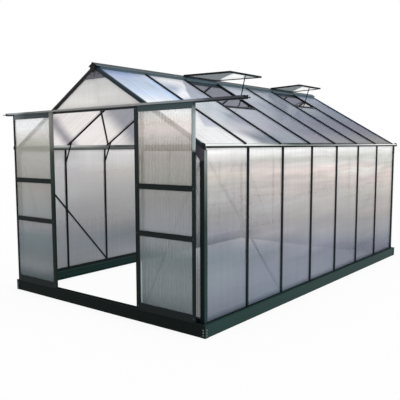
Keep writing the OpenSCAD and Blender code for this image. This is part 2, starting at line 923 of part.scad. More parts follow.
base_front();
base_back();
base_left();
base_right();
corner_brackets();
sills();
corner_posts();
left_wall_bars();
right_wall_bars();
left_gutter();
right_gutter();
ridge_beam();
end_caps();
front_rafters();
back_rafters();
left_roof_bars();
right_roof_bars();
left_wall_panes();
right_wall_panes();
left_roof_panes();
right_roof_panes();
front_gable_panes();
back_gable_panes();
door_jambs();
door_header();
back_gable_bars();
gable_crossbars();
door_track();
track_stops();
gusset_plates();
wall_braces();
gable_braces();
roof_braces();
knee_braces();
vent_frames();
vent_panes();
vent_stays();
vent_sills();
left_door_stiles();
left_door_rails();
left_door_panes();
left_door_rollers();
right_door_stiles();
right_door_rails();
right_door_panes();
right_door_rollers();
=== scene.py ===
import math

import bpy
import bmesh
from mathutils import Matrix, Vector


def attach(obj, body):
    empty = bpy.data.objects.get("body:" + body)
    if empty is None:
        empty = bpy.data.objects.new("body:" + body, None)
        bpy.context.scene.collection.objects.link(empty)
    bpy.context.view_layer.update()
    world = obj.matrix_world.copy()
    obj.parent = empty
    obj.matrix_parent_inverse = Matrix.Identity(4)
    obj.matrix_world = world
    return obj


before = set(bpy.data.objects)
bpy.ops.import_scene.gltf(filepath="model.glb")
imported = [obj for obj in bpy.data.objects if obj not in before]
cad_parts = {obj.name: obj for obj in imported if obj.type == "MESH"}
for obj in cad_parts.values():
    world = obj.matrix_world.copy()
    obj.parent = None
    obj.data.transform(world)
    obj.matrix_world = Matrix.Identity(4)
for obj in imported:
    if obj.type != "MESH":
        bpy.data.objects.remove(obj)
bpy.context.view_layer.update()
mm = 0.001
weld = 0.01 * mm  # corners closer than this are one corner
bpy.ops.object.select_all(action="DESELECT")

cameraSetup = {"place": (3.767, -5.561, 1.4934), "heading": 40.34, "tilt": 84.015, "roll": -0.476,
    "lens": 49.98, "sensor": 36, "shift": (0.0776, 0.0143)}


def addCamera():
    data = bpy.data.cameras.new("camera")
    data.lens = cameraSetup["lens"]
    data.sensor_width = cameraSetup["sensor"]
    data.shift_x, data.shift_y = cameraSetup["shift"]
    camera = bpy.data.objects.new("camera", data)
    camera.location = cameraSetup["place"]
    turn = Matrix.Rotation(math.radians(cameraSetup["heading"]), 3, "Z")
    turn = turn @ Matrix.Rotation(math.radians(cameraSetup["tilt"]), 3, "X")
    turn = turn @ Matrix.Rotation(math.radians(cameraSetup["roll"]), 3, "Z")
    camera.rotation_euler = turn.to_euler()
    bpy.context.scene.collection.objects.link(camera)
    bpy.context.scene.camera = camera


addCamera()
print("camera set")


def linear(hexColour):  # sRGB hex to a linear colour
    parts = [int(hexColour[i:i + 2], 16) / 255 for i in (1, 3, 5)]
    return tuple(p / 12.92 if p <= 0.04045 else ((p + 0.055) / 1.055) ** 2.4 for p in parts) + (1.0,)


def addNode(tree, kind, inputs={}, stops=(), **settings):
    node = tree.nodes.new(kind)
    for name, value in settings.items():
        setattr(node, name, value)
    for name, value in inputs.items():
        if isinstance(value, bpy.types.NodeSocket):
            tree.links.new(value, node.inputs[name])
        else:
            node.inputs[name].default_value = value
    for place, (at, shade) in enumerate(stops):  # stops of a colour ramp, as hex colours or plain shares
        element = node.color_ramp.elements[0] if place == 0 else node.color_ramp.elements.new(at)
        if place == 0:
            node.color_ramp.elements.remove(node.color_ramp.elements[1])
            element.position = at
        element.color = linear(shade) if isinstance(shade, str) else (shade, shade, shade, 1.0)
    return node


def newMaterial(name):
    material = bpy.data.materials.new(name)
    material.use_nodes = True
    material.node_tree.nodes.clear()
    return material, material.node_tree


# A look is made of bands: each lies at one place along its second axis, has its shades at places along
# its first axis, and fades into the next band. Places are in metres.
def band(at, places, shades):
    return at, list(zip(places, shades.split()))


def bandShade(tree, look, places, first):
    low, high = look["span"]
    level = addNode(tree, "ShaderNodeMapRange", {"Value": first, "From Min": low,
                    "From Max": high}).outputs[0]
    shade = None
    for at, stops in look["bands"]:
        stops = [((place - low) / (high - low), colour) for place, colour in stops]
        ramp = addNode(tree, "ShaderNodeValToRGB", {"Fac": level}, stops=stops).outputs[0]
        if shade is not None:
            turn = addNode(tree, "ShaderNodeMapRange", {"Value": places[look["second"]],
                           "From Min": before, "From Max": at}).outputs[0]
            ramp = addNode(tree, "ShaderNodeMix", {0: turn, 6: shade, 7: ramp}, data_type="RGBA").outputs[2]
        shade, before = ramp, at
    return shade


film = {"cloud": 350 * mm, "drift": 0.16, "roughDrift": 0.06,
    "peel": 6 * mm, "peelDepth": 0.3 * mm, "bump": 0.12}


# Powder coat on aluminium or steel: a sprayed and baked satin film, slightly uneven in tone, with a
# faint orange peel. Its bands paint light and shade into its colour: painted highlights where it would catch
# the sky along the track, eaves, ridge and door stiles, and painted shade on faces that turn away.
# With other tones and gloss it does for the dull skin of bare aluminium and zinc, and for plastic and rubber.
def powderCoat(name, look):
    material, tree = newMaterial(name)
    place = addNode(tree, "ShaderNodeTexCoord").outputs["Object"]
    cloud = addNode(tree, "ShaderNodeTexNoise", {"Vector": place, "Scale": 1 / film["cloud"],
                    "Detail": 4.0}).outputs["Fac"]
    peel = addNode(tree, "ShaderNodeTexNoise", {"Vector": place, "Scale": 1 / film["peel"],
                   "Detail": 2.0}).outputs["Fac"]
    places = dict(zip("xyz", addNode(tree, "ShaderNodeSeparateXYZ", {"Vector": place}).outputs))
    tone = bandShade(tree, look, places, places[look["first"]])
    drift = addNode(tree, "ShaderNodeMapRange", {"Value": cloud, "To Min": 1 - film["drift"],
                    "To Max": 1 + film["drift"]}).outputs[0]
    paint = addNode(tree, "ShaderNodeMix", {0: 1.0, 6: tone, 7: drift}, data_type="RGBA",
                    blend_type="MULTIPLY").outputs[2]
    rough = addNode(tree, "ShaderNodeMapRange", {"Value": cloud, "To Min": look["rough"] - film["roughDrift"],
                    "To Max": look["rough"] + film["roughDrift"]}).outputs[0]
    bump = addNode(tree, "ShaderNodeBump", {"Height": peel, "Strength": film["bump"],
                   "Distance": film["peelDepth"]}).outputs[0]
    shader = addNode(tree, "ShaderNodeBsdfPrincipled", {"Base Color": paint, "Roughness": rough,
                     "Normal": bump, "Specular IOR Level": look["shine"]}).outputs[0]
    addNode(tree, "ShaderNodeOutputMaterial", {"Surface": shader})
    return material


def coat(bands, first="z", second=None, span=(0, 2.3), rough=0.45, shine=0.06):
    return {"bands": bands, "first": first, "second": second, "span": span, "rough": rough, "shine": shine}


def plainCoat(colour, rough=0.45, shine=0.06):  # one tone all over
    return coat([band(0, [0], colour)], rough=rough, shine=shine)


# Tones of the coated parts, with light and shade painted in: painted shade where a face turns away, painted
# highlights where it meets the sky.
postHeights = (0.1, 0.9, 1.1, 1.25, 1.4)
postSidePaintedLight = "#223537 #263634 #475350 #5f635e #7c8482"
gutterFace = (1.483, 1.486, 1.496)
gutterLowLightAndShade = "#282b2b #6e706f #757776 "
stileHeights = (0.3, 1.1)
stileDark = "#172120 #1a2322 "
coats = {
    # Corner posts: painted shade on the front faces, and painted light brightening the sides towards the top.
    "corner posts": coat(first="z", second="y", span=(0, 1.6), bands=[
        band(-2.1408, (0.1, 1.0, 1.4), "#0b1413 #111a1a #171d1f"),
        band(-2.138, postHeights, postSidePaintedLight),
        band(-2.1, postHeights, postSidePaintedLight),
        band(-2.09, [0.1], "#131c1d")]),
    "glazing bars": plainCoat("#151b1f"),
    # The base ends are a darker copy of the sides' coat: painted shade on the faces turned from the light.
    "base ends in painted shade": plainCoat("#0e1514", 0.5, 0.04),
    "base sides": plainCoat("#1f3734", 0.5, 0.06),
    # Corner brackets in the base's two tones: painted shade on all but their right-hand side faces.
    "corner brackets": coat([band(0, (1.2495, 1.2505), "#0e1514 #1f3734")], first="x", span=(1.2, 1.3),
        rough=0.5, shine=0.05),
    "sills": plainCoat("#0f1716"),
    # Gutters: painted highlights along the lip and painted light and shade on the faces below it, darkest
    # near the doors.
    "gutters": coat(first="z", second="y", span=(1.46, 1.54), rough=0.4, shine=0.1, bands=[
        band(-1.9, gutterFace + (1.499, 1.5025, 1.5045), "#282b2b #373535 #3c3a3b #454b49 #767f7c #e0e4e2"),
        band(-1.45, gutterFace + (1.499, 1.5025, 1.5045), gutterLowLightAndShade + "#454b49 #767f7c #e0e4e2"),
        band(-0.7, gutterFace + (1.499, 1.502, 1.506, 1.5085, 1.51), gutterLowLightAndShade + "#4a504e #626a67 #818b87 "
            "#6a7471 #454f4e"),
        band(0.6, gutterFace + (1.499, 1.502, 1.507, 1.509, 1.511), gutterLowLightAndShade + "#8c8e8f #b4b4b6 #bcbcc0 "
            "#8a8a8d #606264"),
        band(1.5, gutterFace + (1.499, 1.502, 1.5035, 1.51, 1.512), gutterLowLightAndShade + "#656764 #7a7c78 #fcfcfa "
            "#fcfcfa #8a8b88")]),
    # Ridge: a painted sheen across its faces, with painted shade at the edges.
    "ridge": coat([band(0, (2.172, 2.18, 2.2, 2.225, 2.23, 2.25), "#252d33 #5f6e7c #56676f #475761 #262f34 "
        "#2d373c")], span=(2.17, 2.26), rough=0.4, shine=0.05),
    # Track: painted shade under the lip, and a painted highlight along the lip that changes along the front.
    "track": coat(first="x", second="z", span=(-1.4, 1.7), rough=0.35, shine=0.12, bands=[
        band(1.836, (-1.3, 1.3), "#23282a #2b3234"),
        band(1.841, (-1.3, -1.26, -1.12, -1.03, -0.97, -0.7, 0.5, 0.9, 1.15, 1.3, 1.55),
            "#2b3032 #878d93 #9da3a8 #7d8489 #5c6467 #7b7d7c #8b8c8b #7f868a #7f868a #474c53 #3b3f44")]),
    "rafters": coat([band(0, (-0.05, 0.05), "#2c2b2d #26333a")], first="x", span=(-1.3, 1.3)),
    "plates": coat([band(0, (1.6, 2.0), "#413f48 #64626a")], shine=0.1),
    "plastic": plainCoat("#0f1111", 0.5, 0.15),
    # Door rails: a painted highlight along the top rails; the lower rails stay dark.
    "door rails": coat(first="x", second="z", span=(-1.3, 1.3), bands=[
        band(1.3, (-1.1, 1.1), "#171e1e #161c1c"),
        band(1.75, (-1.17, -1.0, -0.6, 0.55, 1.1), "#6d7076 #454c4f #384145 #3a4549 #3f4d50")]),
    # Left door stiles: a painted sheen that lightens them towards the top, most on the meeting stile above
    # about 1.5 m.
    "left door stiles": coat(first="z", second="x", span=(0, 2), bands=[
        band(-1.1, (1.2, 1.7), "#16191b #24262a"),
        band(-0.6, (1.0, 1.25, 1.45, 1.52, 1.78), "#18211f #2c3733 #3a433e #676964 #7f807c")]),
    # Right door stiles: a painted highlight on the outer edge of the outer stile above about 1.45 m, and a
    # faint painted sheen towards the tops.
    "right door stiles": coat(first="z", second="x", span=(0, 2), bands=[
        band(0.6, (1.1, 1.5), "#14191a #22292b"),
        band(1.138, stileHeights + (1.46, 1.5, 1.8), stileDark + "#20292a #495456 #3c474a"),
        band(1.144, stileHeights + (1.455, 1.48, 1.74, 1.79, 1.815), stileDark + "#20292a #a5afae #9aa5a7 "
            "#7f8a8d #3a4549")]),
}
coatKinds = {"base ends in painted shade": "powder-coated galvanised steel", "base sides": "powder-coated galvanised steel",
    "corner brackets": "powder-coated galvanised steel", "plates": "mill-finish aluminium",
    "plastic": "moulded black polypropylene"}
coatings = {part: powderCoat(part + ", " + coatKinds.get(part, "powder-coated aluminium"), look)
    for part, look in coats.items()}
partCoats = {"corner_posts": "corner posts", "gusset_plates": "plates", "ridge_beam": "ridge",
    "end_caps": "plastic", "track_stops": "plastic", "left_door_rollers": "plastic",
    "right_door_rollers": "plastic", "door_track": "track", "sills": "sills",
    "base_front": "base ends in painted shade", "base_back": "base ends in painted shade",
    "base_left": "base sides", "base_right": "base sides", "corner_brackets": "corner brackets",
    "left_gutter": "gutters", "right_gutter": "gutters",
    "front_rafters": "rafters", "back_rafters": "rafters",
    "left_door_rails": "door rails", "right_door_rails": "door rails",
    "left_door_stiles": "left door stiles", "right_door_stiles": "right door stiles"}

# Light and shade painted into the sheets' colour, for the sky and ground that they mirror and the far side
# that they let through: soft level bands on the walls, gables and doors, and shades from bay to bay on the
# roof.
# A colour-matching program adjusted these shades, apart from the left roof's and the vents'.
wallHeights = (0.17, 0.3, 0.38, 0.45, 0.52, 0.6, 0.7, 0.8, 0.95, 1.1, 1.2, 1.26)
wallBands = [  # from the doors to the back
    band(-1.82, wallHeights + (1.34, 1.38, 1.46),
        "#656e7d #727b89 #77818d #78828d #717d87 #62707c #69717d #9899a3 #a6a4a2 #c3c2c2 #c7c3be "
        "#e3dad0 #d8d2ce #d8d5d3 #fcfcfc"),
    band(-1.21, wallHeights + (1.34, 1.38, 1.46),
        "#6b7887 #757c8c #757c8c #6e7585 #68727e #797e8b #a6a4ab #9d9a9b #bebcbd #c7bdb8 #cdc3bf "
        "#e9dbd3 #ddd2ce #cdcdc6 #fcfcfc"),
    band(0.0, wallHeights + (1.3, 1.34, 1.38, 1.46),
        "#767d8d #727a89 #6f7384 #868b9a #9496a1 #a3a3a8 #a09ea1 #b8b4b2 #c4bfbc #c9beb9 #eaddd6 "
        "#fbe8e2 #f6edea #e2e4dc #d1cfcb #fcfcfc"),
    band(1.21, wallHeights + (1.34, 1.42, 1.46),
        "#636879 #5b6274 #80858e #8b8a90 #949296 #949494 #aea8a6 #afadac #c1beb5 #dccdcb #fcfbf2 "
        "#e2d6d0 #dbdcd4 #dfdfd9 #fcfcfc"),
    band(1.82, wallHeights + (1.34, 1.42, 1.46),
        "#5d6273 #7b818d #8c8c95 #95939a #989899 #a49e9d #b6afac #b9b2ad #cfc9c1 #e5d3cc #e4dad1 "
        "#d7d4cc #eaeae5 #ddded9 #fcfcfc"),
]
leftWallHeights = (0.17, 0.4, 0.6, 0.8, 1.0, 1.2, 1.44)
leftWallBands = [
    band(-1.8, leftWallHeights, "#7e8286 #82888b #7e8289 #888889 #9f9ea0 #a8a5a8 #b1aeb0"),
    band(-1.2, leftWallHeights, "#7d8085 #767f88 #838287 #807d80 #93918f #b1a7a7 #e6e7e7"),
    band(-0.6, leftWallHeights, "#83868d #6a727a #878687 #8c8a89 #908d8c #b6aea4 #ebe8e9"),
]
doorHeights = (0.2, 0.3, 0.45, 0.6, 0.72, 0.83, 1.05, 1.23, 1.42, 1.56, 1.63, 1.7, 1.76)
doorBands = [  # left door, right door
    band(-0.88, doorHeights,
        "#5a666b #878c8f #767f84 #7b878b #9a989d #989c9c #a3a29c #aba9a2 #bebcb5 #babbac #e1ddd7 "
        "#fcfcfc #fcfcfc"),
    band(0.84, doorHeights,
        "#646f73 #7a8587 #80898c #6d7a7d #909597 #9a9da2 #949292 #9f9f95 #a79e97 #d2cbc3 #f9eae4 "
        "#f4e6d9 #fcfcf7"),
]
gableHeights = (0.2, 0.45, 0.62, 0.75, 1.0, 1.5, 1.88, 2.08)
gableBands = [
    band(0.0, gableHeights, "#30363a #3c4347 #62686c #8c8f92 #a5a5a5 #c6c3c0 #f8f5f0 #dedddc"),
]
bays = (-1.82, -1.21, -0.6, 0.0, 0.6, 1.21, 1.82)  # their middles, from the doors to the back
rightRoofBands = [  # from the ridge to the eaves
    band(0.1, bays, "#a3b5db #fcfcfc #b9c4d2 #acb5bf #828e9d #9aa5b6 #8995a9"),
    band(0.26, bays, "#b6c6dc #99a7bc #b9c4d2 #b0bac8 #9095a3 #979fae #5a6783"),
    band(0.43, bays, "#cbdcf7 #d8e2ee #bfc9d6 #878fa2 #89909e #808c97 #54647e"),
    band(0.6, bays, "#fcfcfc #c2c8cf #a6acb9 #919aa9 #6f768e #4b5873 #495d73"),
    band(0.77, bays, "#fcfcfc #b6c0ca #a0a6b3 #818899 #535972 #4e526d #4f4768"),
    band(0.95, bays, "#fcfcfc #b8bac2 #9598a8 #616a81 #5e6078 #565b73 #4d5468"),
    band(1.08, bays, "#fcfcfc #5f6a7e #8894a0 #7d7a8b #747983 #73717b #706b71"),
]
bayRun = (-2.0, -1.4, -0.9, -0.5, 0.9)
leftRoofBands = [
    band(0.5, bayRun, "#e9e2e1 #f4eeec #ded9d8 #a3a7b2 #a3a7b2"),
    band(0.8, bayRun, "#efe8e6 #f6f0ee #eee8e5 #bdbcc0 #a3a7b2"),
    band(1.14, bayRun, "#efe6e6 #f6f0ee #f0ebe8 #cfccc8 #a3a7b2"),
]
ventBands = [band(0, (-0.6, 1.2), "#7f8689 #7f8689")]

# Patches on the roof: painted reflections of bright sky and painted shade. A patch lies to the left of each
# of its edges, which run between points given as (along the building, out from the ridge), with the width of
# the soft border.
rightRoofPatches = [
    {"share": 0.9, "shade": "#c5c9d9", "edges": [
        ((-1.514, 0.656), (-1.5075, 0.926), 0.01),
        ((-1.501, 0.926), (-1.760, 0.944), 0.05),
        ((-1.760, 0.944), (-1.514, 0.656), 0.03)]},
    {"share": 0.9, "shade": "#f9faff", "edges": [
        ((-0.929, 0.033), (-1.298, 0.428), 0.02),
        ((-1.298, 0.428), (-1.552, 0.458), 0.05),
        ((-1.552, 0.458), (-0.929, 0.033), 0.1)]},
    {"share": 0.85, "shade": "#b4b9c7", "edges": [
        ((-1.298, 0.428), (-0.929, 0.033), 0.02),
        ((-0.9, 0.46), (-1.5, 0.46), 0.02),
        ((-0.9045, 0), (-0.9045, 0.5), 0.01)]},
    {"share": 0.75, "shade": "#8a8ea2", "edges": [
        ((-1.12, 0.86), (-1.12, 0.66), 0.14),
        ((-1.2, 0.66), (-0.9, 0.69), 0.12),
        ((-0.9, 0.88), (-1.2, 0.84), 0.14),
        ((-0.9045, 0.6), (-0.9045, 0.9), 0.01)]},
    {"share": 0.9, "shade": "#f6f6f7", "edges": [
        ((-1.554, 0.98), (-1.209, 1.06), 0.14),
        ((-1.26, 0.9), (-1.26, 1.2), 0.3)]},
    {"share": 0.8, "shade": "#bcd6f7", "edges": [
        ((-1.62, 0.5), (-1.62, 0.1), 0.08),
        ((-1.5075, 0.1), (-1.5075, 0.5), 0.01),
        ((-1.7, 0.12), (-1.5, 0.12), 0.12),
        ((-1.5, 0.55), (-1.7, 0.55), 0.02)]},
]
leftRoofPatches = [
    {"share": 0.85, "shade": "#83818b", "edges": [
        ((-1.91, 0.79), (-1.50, 1.07), 0.1),
        ((-1.60, 1.12), (-1.86, 0.93), 0.1)]},
    {"share": 0.85, "shade": "#7f818d", "edges": [((-0.55, 1.09), (-1.45, 0.61), 0.18)]},
]
ventPatches = [
    {"share": 0.95, "shade": "#fcfcfc", "edges": [
        ((-0.748, 0.535), (-0.25, 0.009), 0.04),
        ((0.3, 0), (0.3, 0.5), 0.01)]},
    {"share": 0.95, "shade": "#b9c1c0", "edges": [
        ((-0.618, 0.602), (-0.322, 0.398), 0.05),
        ((0.3, 0), (0.3, 0.7), 0.01)]},
    {"share": 0.95, "shade": "#fcfcfc", "edges": [((1.138, 0.341), (1.428, 0.089), 0.04)]},
]

# For each kind of sheet: the axis its flutes run along, its bands and patches, how far each sheet's bow
# shifts them (wave, in metres), the strength of streaks and ripples, the share of light that glows
# through (glow), and the share seen straight through each face (clear) by height.
wallLook = {"along": "z", "first": "z", "second": "y", "span": (0.1, 1.55), "bands": wallBands, "patches": [],
    "wave": 0.022, "streak": 0.05, "glow": 0.1,
    "clear": [(0.12, 0.24), (0.5, 0.3), (0.7, 0.45), (1.0, 0.58), (1.35, 0.58), (1.45, 0.06)],
    "ripple": [(0.5, 0.1), (0.9, 0.25), (1.2, 0.7), (1.45, 0.5)]}
doorLook = dict(wallLook, second="x", span=(0.1, 2.3), bands=doorBands, wave=0.02,
    clear=[(0.12, 0.5), (0.6, 0.5), (0.76, 0.6), (1.5, 0.62), (1.75, 0.75)], ripple=[(0.9, 0.1), (1.2, 0.2)])
gableLook = dict(doorLook, bands=gableBands,
    clear=[(0.12, 0.44), (0.5, 0.44), (0.8, 0.55), (1.5, 0.65), (1.8, 0.45)])
leftWallLook = dict(wallLook, bands=leftWallBands, ripple=[(0.9, 0.1)], glow=0.5)
rightRoofLook = {"along": "out", "first": "y", "second": "out", "span": (-2.15, 2.15),
    "bands": rightRoofBands, "patches": rightRoofPatches,
    "wave": 0.02, "streak": 0.12, "glow": 0.1, "clear": [(1.5, 0.3)], "ripple": [(0, 0.1)]}
leftRoofLook = dict(rightRoofLook, bands=leftRoofBands, patches=leftRoofPatches, streak=0.09, glow=0.9)
ventLook = dict(rightRoofLook, bands=ventBands, patches=ventPatches, clear=[(0, 0.3)], glow=0.9)
sheetLooks = {"left_wall": leftWallLook, "wall": wallLook, "door": doorLook, "gable": gableLook,
    "left_roof": leftRoofLook, "vent": ventLook, "right_roof": rightRoofLook}

# Real flutes are about 6 mm wide. Streaks are drawn about 18 mm and ripples about 45 mm wide, to show.
sheetMake = {"pane": 0.603, "top": 2.3, "bow": 320 * mm, "streak": 18 * mm, "streakStretch": 0.02,
    "ripple": 45 * mm, "rippleStretch": 0.06, "rough": 0.22, "bend": 1.58, "shine": 0.2, "tint": "#fafbfc"}


def addPatch(tree, shade, patch, y, out, shift):
    mask = None
    for start, end, soft in patch["edges"]:
        run = Vector((end[0] - start[0], end[1] - start[1])).normalized()
        offset = start[0] * run.y - start[1] * run.x
        reach = addNode(tree, "ShaderNodeMath", {0: y, 1: -run.y, 2: offset},
                        operation="MULTIPLY_ADD").outputs[0]
        reach = addNode(tree, "ShaderNodeMath", {0: out, 1: run.x, 2: reach},
                        operation="MULTIPLY_ADD").outputs[0]
        reach = addNode(tree, "ShaderNodeMath", {0: reach, 1: shift}, operation="ADD").outputs[0]
        edge = addNode(tree, "ShaderNodeMapRange", {"Value": reach, "From Min": -soft / 2,
                       "From Max": soft / 2}, interpolation_type="SMOOTHSTEP").outputs[0]
        share = patch["share"] if mask is None else mask
        mask = addNode(tree, "ShaderNodeMath", {0: edge, 1: share}, operation="MULTIPLY").outputs[0]
    return addNode(tree, "ShaderNodeMix", {0: mask, 6: shade, 7: linear(patch["shade"])},
                   data_type="RGBA").outputs[2]


def streaks(tree, look, across, along, pane):  # fine lines along the flutes
    slow = addNode(tree, "ShaderNodeMath", {0: along, 1: sheetMake["streakStretch"]},
                   operation="MULTIPLY").outputs[0]
    field = addNode(tree, "ShaderNodeCombineXYZ", {"X": across, "Y": slow, "Z": pane}).outputs[0]
    streak = addNode(tree, "ShaderNodeTexNoise", {"Vector": field, "Scale": 1 / sheetMake["streak"],
                     "Detail": 3.0}).outputs["Fac"]
    return addNode(tree, "ShaderNodeMapRange", {"Value": streak, "From Min": 0.3, "From Max": 0.7,
                   "To Min": 1 - look["streak"], "To Max": 1 + look["streak"]}).outputs[0]


def ripples(tree, look, across, along, pane, height):  # soft waves across the flutes, and their strength
    slow = addNode(tree, "ShaderNodeMath", {0: across, 1: sheetMake["rippleStretch"]},
                   operation="MULTIPLY").outputs[0]
    field = addNode(tree, "ShaderNodeCombineXYZ", {"X": slow, "Y": along, "Z": pane}).outputs[0]
    ripple = addNode(tree, "ShaderNodeTexNoise", {"Vector": field, "Scale": 1 / sheetMake["ripple"],
                     "Detail": 2.0}).outputs["Fac"]
    ripple = addNode(tree, "ShaderNodeMath", {0: ripple, 1: 0.5}, operation="SUBTRACT").outputs[0]
    stops = [(at / sheetMake["top"], share) for at, share in look["ripple"]]
    ruffle = addNode(tree, "ShaderNodeValToRGB", {"Fac": height}, stops=stops).outputs[0]
    return ripple, ruffle


def sheetShade(tree, look, places, height):
    upright = look["along"] == "z"
    x, y = places["x"], places["y"]
    across = addNode(tree, "ShaderNodeMath", {0: x, 1: y}, operation="ADD").outputs[0] if upright else y
    along = places[look["along"]]
    # Each sheet bows in its own way, so the waves jump from pane to pane.
    pane = addNode(tree, "ShaderNodeMath", {0: across, 1: 1 / sheetMake["pane"], 2: 0.5},
                   operation="MULTIPLY_ADD").outputs[0]
    pane = addNode(tree, "ShaderNodeMath", {0: pane}, operation="FLOOR").outputs[0]
    field = addNode(tree, "ShaderNodeCombineXYZ", {"X": across, "Y": along, "Z": pane}).outputs[0]
    wave = addNode(tree, "ShaderNodeTexNoise", {"Vector": field, "Scale": 1 / sheetMake["bow"],
                   "Detail": 2.0}).outputs["Fac"]
    shift = addNode(tree, "ShaderNodeMapRange", {"Value": wave, "To Min": -look["wave"],
                    "To Max": look["wave"]}).outputs[0]
    lifted = addNode(tree, "ShaderNodeMath", {0: places[look["first"]], 1: shift}, operation="ADD").outputs[0]
    shade = bandShade(tree, look, places, lifted)
    for patch in look["patches"]:
        shade = addPatch(tree, shade, patch, y, places["out"], shift)
    streak = streaks(tree, look, across, along, pane)
    ripple, ruffle = ripples(tree, look, across, lifted if upright else along, pane, height)
    tone = addNode(tree, "ShaderNodeMath", {0: ripple, 1: ruffle, 2: streak},
                   operation="MULTIPLY_ADD").outputs[0]
    return addNode(tree, "ShaderNodeMix", {0: 1.0, 6: shade, 7: tone}, data_type="RGBA",
                   blend_type="MULTIPLY").outputs[2]


# Twin-wall polycarbonate: extruded clear sheet with a milky look from its two skins and the flutes
# between them. Painted shade greys it towards the ground; it lets the frame behind it show faintly, and has
# fine streaks along the flutes, ripples across them and, where a sheet bows, soft or sharp painted
# reflections of sky.
def polycarbonate(name, look, webbing=False):
    material, tree = newMaterial(name)
    place = addNode(tree, "ShaderNodeTexCoord").outputs["Object"]
    x, y, z = addNode(tree, "ShaderNodeSeparateXYZ", {"Vector": place}).outputs
    out = addNode(tree, "ShaderNodeMath", {0: x}, operation="ABSOLUTE").outputs[0]
    height = addNode(tree, "ShaderNodeMapRange", {"Value": z, "From Min": 0.0,
                     "From Max": sheetMake["top"]}).outputs[0]
    shade = sheetShade(tree, look, {"x": x, "y": y, "z": z, "out": out}, height)
    skin = addNode(tree, "ShaderNodeBsdfPrincipled", {"Base Color": shade, "Roughness": sheetMake["rough"],
                   "IOR": sheetMake["bend"], "Specular IOR Level": sheetMake["shine"]}).outputs[0]
    through = addNode(tree, "ShaderNodeBsdfTranslucent", {"Color": shade}).outputs[0]
    body = addNode(tree, "ShaderNodeMixShader", {0: look["glow"], 1: skin, 2: through}).outputs[0]
    if not webbing:
        stops = [(at / sheetMake["top"], share) for at, share in look["clear"]]
        share = addNode(tree, "ShaderNodeValToRGB", {"Fac": height}, stops=stops).outputs[0]
        clear = addNode(tree, "ShaderNodeBsdfTransparent", {"Color": linear(sheetMake["tint"])}).outputs[0]
        body = addNode(tree, "ShaderNodeMixShader", {0: share, 1: body, 2: clear}).outputs[0]
    addNode(tree, "ShaderNodeOutputMaterial", {"Surface": body})
    return material


skins = {key: polycarbonate("twin-wall polycarbonate, " + key, look) for key, look in sheetLooks.items()}
webs = {key: polycarbonate("polycarbonate flutes, " + key, look, True) for key, look in sheetLooks.items()}


def sheetKind(nodeName):
    return next(key for key in sheetLooks if key in nodeName)


def passLight(sheet):  # clear sheets and their webs pass the light on
    sheet.visible_shadow = False
    sheet.visible_diffuse = False
    sheet.visible_transmission = False


def setFinish(piece, finish):
    piece.data.materials.clear()
    piece.data.materials.append(finish)


for nodeName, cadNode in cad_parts.items():
    if "panes" in nodeName:
        setFinish(cadNode, skins[sheetKind(nodeName)])
        passLight(cadNode)
    else:
        setFinish(cadNode, coatings[partCoats.get(nodeName, "glazing bars")])
print("finishes set on the frame")


def bodyOf(nodeName):
    return next((door for door in ("left_door", "right_door") if nodeName.startswith(door)), "building")


def solidPoints(nodeName):  # corners and broadest face's normal of each separate solid of a node
    shape = bmesh.new()
    shape.from_mesh(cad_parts[nodeName].data)
    bmesh.ops.remove_doubles(shape, verts=shape.verts, dist=weld)
    waiting = set(shape.verts)
    solids = []
    while waiting:
        found = [waiting.pop()]
        for corner in found:
            for edge in corner.link_edges:
                other = edge.other_vert(corner)
                if other in waiting:
                    waiting.remove(other)
                    found.append(other)
        faces = {face for corner in found for face in corner.link_faces}
        broad = {}
        for face in faces:
            key = tuple(round(n, 3) for n in face.normal)
            broad[key] = broad.get(key, 0) + face.calc_area()
        normal = Vector(max(broad, key=broad.get)).normalized()
        solids.append((sorted(tuple(c.co) for c in found), normal))
    shape.free()
    return sorted(solids, key=lambda solid: solid[0])


def joined(pieces, name):
    bpy.ops.object.select_all(action="DESELECT")
    for piece in pieces:
        piece.select_set(True)
    bpy.context.view_layer.objects.active = pieces[0]
    if len(pieces) > 1:
        bpy.ops.object.join()
    whole = bpy.context.object
    whole.name = name
    whole.select_set(False)
    return whole


# Webs of a twin-wall sheet: one rib, thin at its waist, repeated across each pane and cut to its outline.
# Real webs stand about 6 mm apart: these are 16 mm apart, so that they show.
flutes = {"pitch": 16 * mm, "wall": 0.5 * mm, "waist": 0.5, "skin": 0.4 * mm, "spare": 1 * mm}


